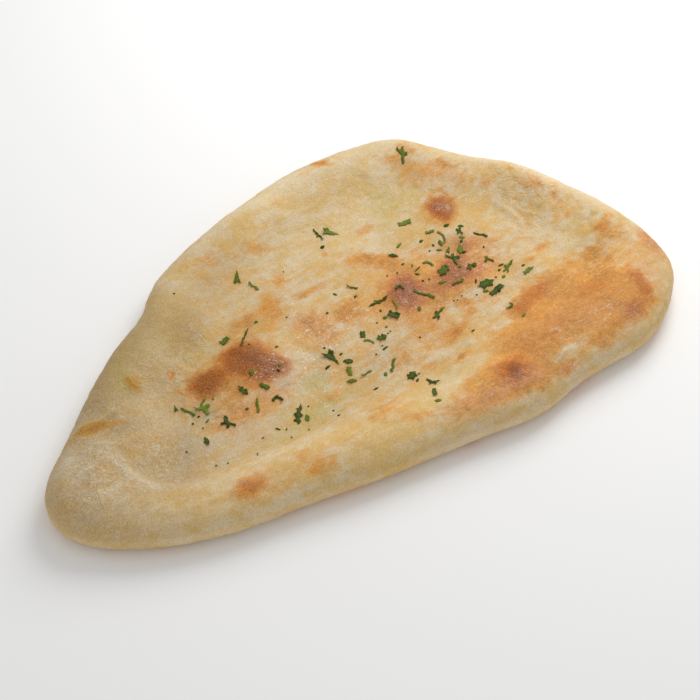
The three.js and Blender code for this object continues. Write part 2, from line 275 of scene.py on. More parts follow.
scorchSpots = [  # darker brown
    (79.4, -38.1, 8, 3.6, 10, 0.12), (88.3, -38.2, 6, 3, 0, 0.12), (95.6, -51.7, 5, 4, 20, 0.08),
    (78.5, -64, 9, 4, 10, 0.25), (49.5, -63, 6, 4, 0, 0.2), (60.6, -67, 5, 4, 0, 0.2),
    (91.8, -61.9, 6, 4, 20, 0.2), (-58.5, 2, 8.5, 6, -5, 1.1), (-44, 7, 8, 7, 0, 0.75),
    (-38.5, 0, 9, 12, -15, 1.05), (-30, -8, 5, 6, 0, 0.4), (80.4, 26.6, 8, 5.8, 52, 1.4),
    (34, -5, 11.5, 7.6, 60, 1.3), (57, -8, 9, 7, 10, 1.15), (64, -4, 5, 3, 20, 0.5),
    (46, -13, 8, 4, -15, 0.4), (73, 1, 7, 4.6, 20, 0.45), (35.6, -69.6, 8.6, 7.6, 30, 1.0),
    (-33, -7, 5, 5, 0, 0.4), (68, -13, 8, 4, 0, 0.4), (110, -64, 3.4, 10, -20, 0.7),
    (97, -74, 8, 4, 15, 0.7), (-75.8, -52, 5.6, 3.8, 0, 0.5), (75, -38, 12, 6, 12, 0.5),
    (63, -43, 6, 5, 20, 0.35), (8, 0, 5, 4.6, 0, 0.3), (-26, 22, 5, 2, 28, 0.3), (136, -48, 6, 3, 65, 0.45),
    (123, -29, 3.4, 3.2, 0, 0.45), (98, -52, 14, 7, 0, 0.35), (52, -59, 16, 6, 10, 0.2),
    (37, -34, 5, 2.4, 12, 0.45), (54, 79, 2.4, 3, 0, 0.4), (36, 20, 5, 3, -48, 0.15),
    (66, -62, 8, 3, 10, 0.35), (-5, 5, 4, 5, 0, 0.1), (29, -47.5, 4, 1.4, 20, 0.35),
    (15.5, -42.5, 3, 1.4, 5, 0.3), (-24, -31.6, 2, 1.4, 0, 0.3),
]
charSpots = [  # the darkest cores
    (-60, 1.5, 4.6, 3.4, 0, 0.35), (-41, 7, 3, 3, 0, 0.4), (-38.5, 1, 5, 6, -15, 0.75),
    (34.5, -4, 7.5, 5.5, 60, 0.95), (55, -6.4, 5, 3.4, 10, 0.15), (80.6, 28, 4, 3.6, 0, 0.8),
    (36.4, -68.6, 5.4, 4, 50, 1.0),
]
rosySheenSpots = [  # paler and pinkish over the brown, partly painted sheen as pinkish flecks
    (-31, -9, 7, 7, 0, 0.5), (-38, -17, 6, 4, 0, 0.8), (36, 3, 8, 5, 0, 0.5), (33, -9, 8, 5, 60, 0.7),
    (68, -10, 8, 5, 0, 0.3), (74, 4, 8, 6, 20, 0.6), (83, 26.5, 4.6, 4, 0, 0.6), (37, -74, 9, 4, 0, 0.6),
    (96, -75, 7, 4, 15, 0.95), (16, -72, 14, 5, -8, 0.5), (134, -50, 11, 7, 65, 0.9),
    (-7, 2, 8, 10, 0, 0.75), (-75, -51, 6, 5, 0, 0.4), (-56, -16, 10, 8, 0, 0.4),
    (57, -79.4, 6, 2.6, 5, 0.9), (80, -80, 7, 3, 5, 0.5), (28, -75, 24, 5, -6, 0.5),
    (118, -62, 6, 12, -20, 0.7), (-66, -3, 3, 3, 0, 0.5), (70, -58, 30, 8, 0, 0.25),
]
butterAndShadeSpots = [  # pools of butter; the spot in the hollow at (79, 44) and those on the left flank are partly painted shade
    (62, 47, 9, 9, 0, 0.6), (79, 44, 7, 7, 0, 0.35), (98, 11, 6, 5, 0, 0.45), (108, -2, 8, 8, 0, 0.35),
    (114, -18, 9, 6, 0, 0.4), (-26, -21, 9, 5.5, 10, 0.9), (-30, -33, 14, 5, 0, 0.7),
    (-48, -38, 22, 5, -4, 0.6), (-42, -27, 12, 4, 10, 0.4), (-8, -33, 16, 6, 0, 0.4),
    (20, -55, 14, 6, 10, 0.35), (-78, 28, 26, 11, 38, 0.4), (-54, 24, 12, 12, 0, 0.45),
    (82, -75, 13, 5, 8, 0.7), (-84, 18, 5, 8, 20, 0.3), (12, -24, 16, 8, 0, 0.25),
    (-95, -15, 9, 20, 12, 0.3), (55, 30, 30, 16, 0, 0.2),
]
flourAndLitEdgeSpots = [  # dry flour; on the broad end's rim and along the step at the narrow end it is painted light on lit edges
    (23, 11, 8, 6, 0, 0.5), (10, 38, 12, 8, 0, 0.5), (86, 15, 8, 4, 0, 0.45), (-13, -42, 8, 4, 0, 0.45),
    # painted light on the lit rim of the broad end
    (125, 12, 7, 18, 10, 1.0), (133, -14, 6, 14, 0, 0.9), (122, -67, 12, 6, 40, 0.5),
    (-30, -46, 12, 5, 0, 0.4), (110, -50, 7, 5, 0, 0.4), (-121, -6, 15, 14, 30, 0.4),
    (-128, -20, 10, 14, 0, 0.35), (-96, -3, 18, 8, -10, 0.3), (-10, 69, 34, 6, 14, 0.45),
    (30, 76, 40, 6, 3, 0.45), (-112, -30, 14, 6, -30, 0.35), (-88, -24, 16, 7, -20, 0.3),
    # the three at x from -108.5 to -103.5 lie along the step at the narrow end: painted highlight on its
    # ridge
    (0, 22, 12, 8, 0, 0.25), (-108.5, -9, 8, 4, -60, 0.5), (-106, -21, 9, 4, -84, 0.55),
    (-103.5, -31, 5, 3, -70, 0.5), (-60, -44, 34, 6, -4, 0.65), (14, -58, 20, 6, 0, 0.7),
    (45, 42, 24, 10, 0, 0.65), (104, -8, 8, 12, 0, 0.55), (105, -28, 10, 3, 0, 0.5),
    (40, 72, 40, 8, 0, 0.5), (-118, -24, 8, 3, 20, 0.5), (-124, -4, 8, 4, 50, 0.4),
    (60, 66, 30, 10, 0, 0.3),
]
veilSpots = [  # a faint warm tint
    (40, -12, 60, 42, 0, 1.0), (-8, 30, 30, 26, 20, 0.7), (-62, -48, 50, 12, -10, 0.2),
    (-118, -10, 22, 18, 0, 0.35), (-46, -12, 36, 22, 0, 0.9), (-50, 44, 20, 8, 35, -0.3),
    (104, -30, 26, 40, 0, 0.4), (0, -28, 34, 20, 0, 0.5), (96, 40, 16, 24, 0, 0.6),
    (-24, 56, 14, 9, 20, 0.7), (46, 42, 24, 12, 0, -0.8), (14, -58, 22, 7, 0, -0.7),
]
honeySpots = [  # yellow-brown folds
    (-110, 6.2, 5, 2.3, -4, 1.2), (-101, 4.6, 8, 1.4, -12, 1.0), (-84.2, 15.4, 1.8, 3.8, 20, 1.1),
    (-81.6, 17, 3, 4, 0, 0.5), (-30, 22, 9, 4, 20, 0.5), (-98, 18, 8, 5, 40, 0.3),
    (-124, -18, 5, 3, -30, 0.4), (-114, -27, 5, 2.4, -20, 0.35), (-97, -42, 14, 4, -24, 0.35),
    (-54, 29, 12, 8, 30, 0.4), (-98, -26, 3, 8, 10, 0.25),
]
crestHighlightSpots = [  # pale edges of small folds: painted highlight on their crests, partly flour
    (57.4, -73.8, 4.4, 0.6, 12, 1.6), (62.2, -73, 2.4, 0.5, -10, 1.3), (64.5, -63, 1.8, 0.6, -50, 1.5),
    (63, -61.6, 1.6, 0.5, 10, 1.1), (-124.5, -4, 3.4, 0.9, 40, 0.8), (-120.5, -11.6, 3, 0.8, 10, 0.8),
    (-119.6, -18.4, 2.6, 0.8, -10, 0.9), (-117.7, -24, 3, 0.8, 20, 0.8), (-109.5, -13, 4, 1.2, -70, 0.8),
    (-106.6, -19, 3.6, 1.2, -80, 0.8), (-104.6, -28, 4, 1.1, -70, 0.8), (-109.4, -40, 3, 0.8, -20, 0.7),
    (-107, -43.4, 3, 0.7, -30, 0.7), (-129.6, -21.9, 2.6, 0.8, -40, 0.8), (-118, -30, 3, 0.8, 0, 0.7),
    (-83.5, -48.8, 5, 0.8, -20, 0.6), (-74, -8, 5, 0.8, 50, 0.7), (-66, 12, 5, 0.7, 70, 0.6),
    (-58, 22, 4, 0.7, 40, 0.5), (106, 8, 5, 1, 70, 0.6), (102, 0, 5, 1, -70, 0.6),
    (99, -9, 5, 0.9, -40, 0.5), (-105.5, -2.6, 5, 1.2, -10, 0.7), (-78, -48, 6, 0.8, -12, 0.5),
    (-20, -37, 8, 0.8, 0, 0.5),
]
glossAndHighlightSpots = [  # wet with butter, so smoother, with small bright strokes of painted highlight
    (-6, 0, 8, 9, 0, 0.7), (-14, -12, 6, 6, 0, 0.8), (81, 28, 4, 4, 0, 0.9), (-36, -6, 8, 7, 0, 0.5),
    (-8, -6, 16, 16, 0, 1.0), (-33, -11, 11, 12, 0, 0.9), (-30, -28, 24, 12, 0, 0.7),
    (30, -10, 30, 14, 0, 0.6), (60, 44, 18, 12, 0, 0.6), (106, 2, 12, 20, 12, 0.5),
    (70, -10, 20, 14, 0, 0.5), (84, -66, 14, 6, 10, 0.5), (20, 20, 50, 34, 0, 0.25),
]
dustyAndShadeSpots = [  # dull floury dough, partly painted shade at the narrow end
    (-97, -22, 4, 13, 8, 0.3), (-122, -14, 22, 24, 0, 0.9), (-92, -14, 16, 22, 12, 0.85),
    (-66, 26, 26, 14, 38, 0.3), (-100, 10, 18, 14, 40, 0.4), (-60, -34, 30, 9, -8, 0.3),
    (106, 0, 9, 16, 12, 0.15),
]
tanAndShadeSpots = [  # duller and browner dough, partly painted shade on the left flank and the narrow end
    (-48, 34, 16, 12, 38, 0.4), (-20, 52, 18, 7, 20, 0.35), (-72, 6, 8, 9, 0, 0.45),
    (-52, -24, 10, 6, 0, 0.2), (-98, 22, 34, 8, 40, 0.75), (-70, 36, 24, 9, 38, 0.5),
    (-125, -30, 20, 12, -35, 0.25), (-84, 20, 16, 12, 40, 0.35), (-95, -14, 9, 18, 12, 0.3),
    (-56, 26, 9, 12, 0, 0.3),
]
paintedShadeSpots = [  # painted shade where the strength is above 0 and painted light below it, partly crust that is darker or lighter as a whole
    (126, 8, 5, 12, 10, -0.5), (132, -12, 4, 9, 0, -0.4), (117, 30, 4, 8, 20, -0.4),
    (134, -51, 5, 6, 0, 0.6), (75, -35, 10, 5, 0, -0.25), (92, 46, 6, 6, 0, -0.25),
    (-62, -18, 5, 4, 0, -0.3), (80, -46, 28, 7, 0, -0.35), (40, -64, 6, 4, 0, -0.4),
    (110, -58, 6, 5, 0, -0.3), (-16, 22, 6, 5, 0, -0.3), (52, 40, 14, 10, 0, 0.3), (46, 72, 20, 5, 0, 0.4),
    (-84, 2, 7, 10, 0, -0.3), (-68, -7, 4, 4, 0, 0.3), (35, -17, 22, 9, 0, 0.35), (62, -22, 8, 6, 0, 0.5),
    (70, 6, 12, 7, 0, 0.8), (84, 0, 6, 8, 0, 0.5), (82, -27, 7, 5, 0, 0.5), (0, -28, 14, 8, 0, 0.5),
    (15, -22, 20, 12, 0, 0.1), (-34, -8, 6, 6, 0, 0.9), (-68, -10, 6, 5, 0, 0.8),
    (-20, 22, 16, 10, 30, 0.4), (-6, 4, 9, 9, 0, -0.3), (-45, 34, 16, 9, 30, 0.3),
    (-112, -2, 12, 7, 0, 0.6), (-100, 12, 9, 7, 0, 0.4), (86, 60, 10, 6, 0, 0.5), (82, 40, 8, 6, 0, 0.1),
    (-40, -16, 14, 6, 0, 0.3), (55, 20, 14, 8, 0, 0.2), (-20, 45, 20, 10, 20, 0.3),
    (115, -10, 8, 14, 0, -0.8), (112, -46, 12, 10, 0, -0.7), (-60, -48, 44, 10, -6, -0.6),
    (10, -60, 34, 10, 0, -0.6), (54, -48, 10, 6, 0, -0.4), (-90, 0, 8, 10, 0, -0.3),
    (30, 76, 40, 7, 0, -0.5), (-70, 40, 20, 7, 40, 0.3), (-100, 14, 9, 8, 30, 0.4),
    (90, -10, 12, 8, 0, 0.3), (80, -68, 18, 9, 0, 0.3), (-14, -16, 8, 7, 0, 0.5), (42, -62, 8, 5, 0, -0.5),
    (-86, -4, 6, 8, 0, -0.4), (105, 5, 5, 10, 0, -0.3), (30, 4, 6, 5, 0, -0.4), (30, 45, 10, 10, 0, -0.15),
    (20, 68, 20, 8, 0, -0.25), (68, -36, 6, 4, 0, -0.4), (38, 32, 8, 12, 0, -0.25),
]
crinkleSpots = [  # finely crinkled skin
    (-112, -14, 14, 16, 0, 1.0), (-124, -20, 10, 10, 0, 0.8), (-80, 18, 8, 6, 0, 0.8),
    (108, 4, 12, 14, 0, 0.35), (-68, 14, 12, 14, 30, 1.0), (-50, 24, 10, 8, 0, 0.9), (-6, 0, 9, 10, 0, 0.8),
    (-14, -10, 7, 6, 0, 0.6), (114, 22, 8, 14, 20, 0.7), (124, 0, 8, 12, 0, 0.6),
    (-100, -36, 12, 5, -30, 0.6), (40, 66, 40, 10, 0, 0.4), (-58, 0, 9, 6, 0, 0.6), (-38, 0, 9, 9, 0, 0.6),
    (79, 27, 8, 7, 0, 0.5), (100, -52, 8, 5, 0, 0.5),
]

# Soft lumps and dents that the baked crust has over its broad swells, rise in mm
puffSpots = [
    (-58, 2.5, 9, 7, 0, 0.9), (-38, 2, 11, 12, -20, 1.1), (79, 26.5, 8, 7, 0, 1.0), (33, -3, 9, 8, 0, 0.5),
    (57, -7, 12, 8, 0, 0.6), (36, -68, 14, 8, 0, 0.8), (-75.6, -51.4, 6, 5, 0, 0.4),
    (78, -40, 14, 8, 5, 0.6), (106, -62, 12, 10, -20, 0.7), (8, 1, 8, 6, 0, 0.4), (-7, 4, 9, 10, 0, 0.6),
    (-27, -21, 7, 5, 0, -0.5), (98, 11, 5, 4, 0, -0.35), (108, 2, 6, 8, 15, -0.4),
    (114, -17, 8, 5, 0, -0.4), (103, 6, 2.4, 8, 8, 0.3), (63, 47, 10, 7, 0, -0.7), (80, 45, 5, 6, 0, -0.6),
    (-24, -31, 5, 3.4, 0, 0.5), (123, -29, 5, 5, 0, 0.5), (85, -66, 12, 4, 12, -0.5),
    (-12, -54, 12, 8, -10, 0.5), (-56, 24, 9, 11, 0, -0.8), (-120, -20, 4, 8, -50, 0.6),
    (-124, -8, 10, 12, 0, 0.7), (-110, 7, 7, 2.4, -8, 0.9), (-88, -16, 12, 20, 10, -1.2),
    (-82.6, 16.6, 3.6, 4.6, 0, 1.5), (-113, -24, 8, 3, 10, 0.5), (-101, 1, 9, 2.6, -14, -0.9),
    (16, -43, 12, 3, 5, 0.4),
]

# Creases as lines of points, in mm: width, height and the points
creases = [
    (1.3, -0.8, [(-114, 5), (-108, 4.4), (-102, 5), (-96, 7.5)]),
    (1.8, 0.8, [(-113, 8), (-107, 7), (-101, 7.6), (-94, 9.6)]),
    (1.6, -0.2, [(-116, -40), (-104, -47), (-90, -52), (-72, -57.5), (-50, -62)]),
    (1.2, 0.2, [(-112, -42.5), (-98, -48.5), (-84, -52), (-66, -57)]),
    (1.4, -0.16, [(-88, -50.5), (-74, -54.5), (-58, -58), (-40, -61.5)]),
    (0.8, -0.4, [(-124, -19), (-120, -21), (-116, -20.4)]),
    (0.7, -0.35, [(-120, -27), (-115, -30), (-109, -31)]),
    (0.9, 0.4, [(-126, -2), (-122, -6), (-118, -12)]),
    (0.9, 0.35, [(-121, -17), (-117, -20), (-113, -19)]),
    (0.9, 0.35, [(-121, -31), (-116, -30), (-112, -32)]),
    (1.2, 0.2, [(100, 15), (102, 9), (103, 2), (101, -5)]),
    (1.0, 0.18, [(106, 12), (107, 5), (109, -2), (114, -8)]),
    (1.0, 0.16, [(95, 6), (97, 0), (101, -8), (108, -12)]),
    (1.0, -0.2, [(99, -8), (104, -3), (106, 3), (105, 10)]),
    (1.0, -0.2, [(104, -12), (109, -8), (112, -3), (112, 4)]),
    (1.1, -0.2, [(92, -14), (101, -16), (110, -14), (118, -9)]),
    (0.9, -0.5, [(118, -26), (121, -22), (124, -21), (127, -24)]),
    (0.7, -0.4, [(119, -33), (122, -36), (127, -37)]),
    (0.8, 0.7, [(62.6, -61), (64.4, -62), (64.6, -64.4)]),
    (0.9, 0.45, [(70, -70), (75, -67.6), (80, -67)]),
    (0.9, 0.7, [(54, -72.8), (57, -73.8), (60.6, -73.2)]),
    (0.7, -0.35, [(97, -52), (100, -53.4), (104, -52.8)]),
    (0.8, -0.3, [(92, -46), (97, -43), (101, -42.4)]),
    (0.9, -0.35, [(-30, -37), (-14, -38.5), (2, -38), (18, -41)]),
    (0.9, 0.3, [(-26, -39.6), (-8, -41.4), (8, -41)]),
    (0.9, -0.3, [(0, -45), (14, -46), (28, -44.6), (40, -40)]),
    (0.8, -0.3, [(-52, -4.5), (-48, -3), (-44, -1.6)]),
    (1.0, -0.4, [(-66, 24), (-60, 18), (-57, 11)]),
    (1.0, 0.35, [(-76, -8), (-70, 0), (-68, 8)]),
    (0.9, -0.3, [(-96, -34), (-84, -38.5), (-66, -41), (-44, -41)]),
    (0.8, 0.3, [(20, 40), (32, 44), (46, 44)]),
    (0.8, -0.3, [(-30, 58), (-14, 62), (4, 64)]),
    (0.8, -0.3, [(112, -62), (114, -55), (113, -48)]),
]

# Folds where the dough on the left of the line stands above what lies on its right: reach, height, points
folds = [
    (13.0, -3.0, [(-112, 5), (-105, -4), (-103.5, -15), (-100.5, -25), (-93.5, -33), (-86, -37)]),
    (9.0, -1.1, [(-97, -30), (-84, -37), (-66, -40.5), (-44, -42), (-22, -42)]),
]


def spotField(plan, spots, crisp=1.0):  # how strongly a set of soft ovals marks each place
    total = np.zeros(len(plan))
    for x, y, along, across, turn, strength in spots:
        angle = math.radians(turn)
        offset = plan - (x, y)
        u = (offset[:, 0] * math.cos(angle) + offset[:, 1] * math.sin(angle)) / along
        v = (offset[:, 1] * math.cos(angle) - offset[:, 0] * math.sin(angle)) / across
        total += strength * np.exp(-((u * u + v * v) ** crisp))
    return total


# How far each place is from a line of points, positive on its left, and its share of the way along
def lineDistance(plan, points):
    points = np.array(points, float)
    lengths = np.hypot(*(points[1:] - points[:-1]).T)
    starts = np.concatenate([[0], np.cumsum(lengths)])
    nearest = np.full(len(plan), 1e9)
    signed = np.zeros(len(plan))
    share = np.zeros(len(plan))
    for i, length in enumerate(lengths):
        forward = (points[i + 1] - points[i]) / length
        offset = plan - points[i]
        run = np.clip(offset @ forward, 0, length)
        gap = np.hypot(*(offset - run[:, None] * forward).T)
        side = forward[0] * offset[:, 1] - forward[1] * offset[:, 0]
        closer = gap < nearest
        nearest = np.where(closer, gap, nearest)
        signed = np.where(closer, np.sign(side) * gap, signed)
        share = np.where(closer, (starts[i] + run) / starts[-1], share)
    return signed, share


def easedField(mesh, values, rounds):  # the field with each point drawn towards the mean of its neighbours
    first, second = readValues(mesh.edges, "vertices", width=2).T
    count = len(values)
    degree = np.bincount(first, minlength=count) + np.bincount(second, minlength=count)
    for _ in range(rounds):
        total = np.bincount(first, values[second], count) + np.bincount(second, values[first], count)
        values = (values + total / degree) / 2
    return values


def creaseField(plan):
    total = np.zeros(len(plan))
    for width, height, points in creases:
        gap, share = lineDistance(plan, points)
        fade = smooth(share, 0, 0.2) * smooth(1 - share, 0, 0.2)
        total += height * fade * np.exp(-((gap / width) ** 2))
    return total


def foldField(plan):
    total = np.zeros(len(plan))
    for reach, height, points in folds:
        gap, share = lineDistance(plan, points)
        fade = smooth(share, 0, 0.25) * smooth(1 - share, 0, 0.25)
        total += height * fade * smooth(gap, -1.6, 1.0) * np.exp(-np.maximum(gap, 0) / reach)
    return total


def makeCrustBase():  # the bread's solid, smoothed and divided into an even skin
    shape = bmesh.new()
    shape.from_mesh(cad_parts["naan_bread"].data)
    bmesh.ops.remove_doubles(shape, verts=shape.verts, dist=1e-6)
    bmesh.ops.join_triangles(
        shape, faces=shape.faces, angle_face_threshold=math.pi, angle_shape_threshold=math.pi
    )
    mesh = bpy.data.meshes.new("crustBase")
    shape.to_mesh(mesh)
    shape.free()
    rough = newObject("crustBase", mesh)
    rounding = rough.modifiers.new("rounding", "SUBSURF")
    rounding.levels = rounding.render_levels = loaf["rounding"]
    skin = rough.modifiers.new("skin", "REMESH")
    skin.mode = "VOXEL"
    skin.voxel_size = loaf["voxel"] * mm
    easing = rough.modifiers.new("easing", "SMOOTH")
    easing.factor, easing.iterations = loaf["easing"]
    return bakeShape(rough, "crustSkin")


def addCrustFields(mesh):
    places = readValues(mesh.vertices, "co", np.float32, 3).astype(float) / mm
    normals = readValues(mesh.vertices, "normal", np.float32, 3).astype(float)
    top = smooth(normals[:, 2], -0.1, 0.35)
    wander = loaf["wander"]
    broadDrift = wobble(places, *wander["broad"], 1)
    fineDrift = wobble(places, *wander["fine"], 2) + wobble(places, *wander["finest"], 4)
    plan = places[:, :2] + broadDrift + fineDrift
    lines = places[:, :2] + wobble(places, *wander["line"], 3)
    rise = spotField(places[:, :2] + broadDrift * 0.5, puffSpots) + easedField(mesh, foldField(lines), 9)
    rise = rise + creaseField(lines)
    storeField(mesh, "rise", rise * top * mm)
    storeField(mesh, "topside", top)
    storeField(mesh, "loose", smooth(normals[:, 2], -0.7, -0.2))  # all but the face it rests on
    storeField(mesh, "toast", np.clip(spotField(plan, toastSpots, 1.25), 0, 1.2) * top)
    storeField(mesh, "scorch", np.clip(spotField(plan, scorchSpots, 1.4), 0, 1.2) * top)
    onPlan = {
        "char": charSpots, "rosySheen": rosySheenSpots, "butterAndShade": butterAndShadeSpots, "veil": veilSpots, "glossAndHighlight": glossAndHighlightSpots,
        "flourAndLitEdge": flourAndLitEdgeSpots, "crinkle": crinkleSpots, "dustyAndShaded": dustyAndShadeSpots,
    }
    for name, spots in onPlan.items():
        storeField(mesh, name, np.clip(spotField(plan, spots), 0, 1) * top)
    for name, spots in {"honey": honeySpots, "crestHighlight": crestHighlightSpots}.items():
        storeField(mesh, name, np.clip(spotField(lines, spots), 0, 1) * top)
    # the low side, which is painted lighter: painted light
    lowSide = 1 - smooth(normals[:, 2], 0.0, 0.5)
    # painted shade and painted light: darker or lighter by the spots, and lighter on the low side
    storeField(mesh, "shade", spotField(plan, paintedShadeSpots) * top - loaf["paintedSideLight"] * lowSide)
    side = 1 - smooth(normals[:, 2], 0.05, 0.75)
    # browner dough on the sides, the left flank and the narrow end, partly painted shade
    storeField(mesh, "tan", np.clip(spotField(plan, tanAndShadeSpots) * top + loaf["sideTanAndShade"] * side, 0, 1))
    addBakeMap(mesh, places, normals)


def addBakeMap(mesh, places, normals):  # the top fills the upper part of the map and the underside the rest
    unroll = 7 * np.hypot(normals[:, 0], normals[:, 1]) ** 1.5  # keeps the steep edge from being squeezed
    flat = np.hypot(normals[:, 0], normals[:, 1]) + 1e-9
    spread = places[:, :2] + normals[:, :2] / flat[:, None] * unroll[:, None]
    low, high = spread.min(0), spread.max(0)
    wide = (high - low).max()
    margin, gap = 0.01, 0.02
    onTop = (spread - low) / wide * (1 - 2 * margin) + margin
    floor = onTop[:, 1].max() + gap
    share = (1 - margin - floor) / (onTop[:, 1].max() - onTop[:, 1].min())
    below = np.stack([margin + (onTop[:, 0] - margin) * share, floor + (onTop[:, 1] - margin) * share], 1)
    corners = readValues(mesh.loops, "vertex_index")
    starts = readValues(mesh.polygons, "loop_start")
    sizes = readValues(mesh.polygons, "loop_total")
    lean = np.add.reduceat(normals[corners, 2], starts) / sizes
    isBelow = np.repeat(lean < -0.45, sizes)  # faces that look down more than sideways
    layout = np.where(isBelow[:, None], below[corners], onTop[corners])
    bakeMap = mesh.uv_layers.new(name="OFBake")
    bakeMap.data.foreach_set("uv", layout.astype(np.float32).ravel())


def startRecipe(name, settings):  # a new geometry tree with its named inputs
    tree = bpy.data.node_groups.new(name, "GeometryNodeTree")
    tree.interface.new_socket(name="Geometry", in_out="INPUT", socket_type="NodeSocketGeometry")
    tree.interface.new_socket(name="Geometry", in_out="OUTPUT", socket_type="NodeSocketGeometry")
    kinds = {float: "NodeSocketFloat", int: "NodeSocketInt"}
    for label, value in settings.items():
        kind = kinds.get(type(value)) or "NodeSocket" + type(value).__name__
        tree.interface.new_socket(name=label, in_out="INPUT", socket_type=kind)
    bench = Bench(tree)
    entry = tree.nodes.new("NodeGroupInput")
    return bench, {label: Wire(bench, entry.outputs[label]) for label in ["Geometry", *settings]}


def endRecipe(bench, shape, material):
    shape = bench.node("GeometryNodeSetShadeSmooth", None, {"Geometry": shape})
    shape = bench.node("GeometryNodeRealizeInstances", None, {"Geometry": shape})
    shape = bench.node("GeometryNodeSetMaterial", None, {"Geometry": shape, "Material": material})
    leave = bench.tree.nodes.new("NodeGroupOutput")
    bench.tree.links.new(shape.socket, leave.inputs["Geometry"])


def useRecipe(piece, bench, settings):
    step = piece.modifiers.new(bench.tree.name, "NODES")
    step.node_group = bench.tree
    for item in bench.tree.interface.items_tree:
        if item.in_out == "INPUT" and item.name in settings:
            step[item.identifier] = settings[item.name]


def startMaterial(name):
    material = bpy.data.materials.new(name)
    material.use_nodes = True
    material.node_tree.nodes.clear()
    return material, Bench(material.node_tree)


def endMaterial(bench, shaderInputs):
    shader = bench.node("ShaderNodeBsdfPrincipled", None, shaderInputs)
    surface = bench.tree.nodes.new("ShaderNodeOutputMaterial")
    bench.tree.links.new(shader.socket, surface.inputs["Surface"])


